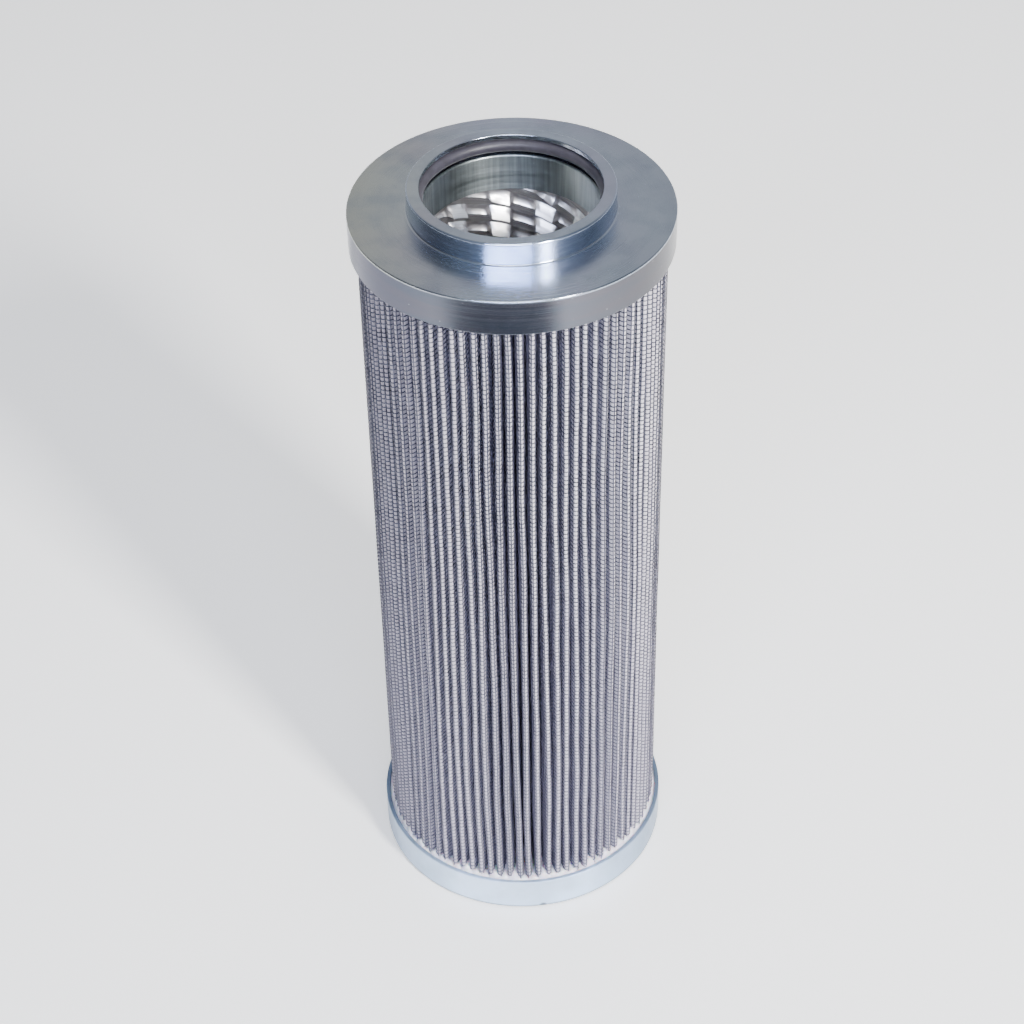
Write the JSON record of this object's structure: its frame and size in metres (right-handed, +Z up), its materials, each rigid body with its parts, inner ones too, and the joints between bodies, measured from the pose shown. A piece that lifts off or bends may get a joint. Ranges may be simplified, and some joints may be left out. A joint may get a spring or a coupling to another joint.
{
  "type": "pleated filter element",
  "caption": "Cylindrical hydraulic filter element: pleated wire-mesh pack between a closed bottom cup and a flanged top cap with a sealed collar bore.",
  "frame": {"origin": "centre of the flat underside of the bottom end cap", "axes": "+Z up the element's axis, from the closed cup to the collar; X and Y across it, the side seam at +Y"},
  "size_m": [0.068, 0.068, 0.185],
  "materials": {
    "cup_steel": "blue-white zinc plated sheet",
    "lower_adhesive": "cast adhesive, glossy",
    "core_steel": "bright rolled strip",
    "media": "glass fibre fleece",
    "mesh_wire": "woven wire",
    "seam_adhesive": "adhesive strip",
    "upper_adhesive": "cast adhesive, glossy",
    "cap_steel": "turned and zinc plated",
    "seal_rubber": "matt moulded rubber"
  },
  "bodies": {
    "root": {"bottom_end_cap": "cup_steel", "lower_potting": "lower_adhesive", "core_tube": "core_steel", "filter_media": "media", "outer_mesh": "mesh_wire", "side_seam": "seam_adhesive", "upper_potting": "upper_adhesive", "top_end_cap": "cap_steel", "seal_ring": "seal_rubber"}
  },
  "joints": []
}
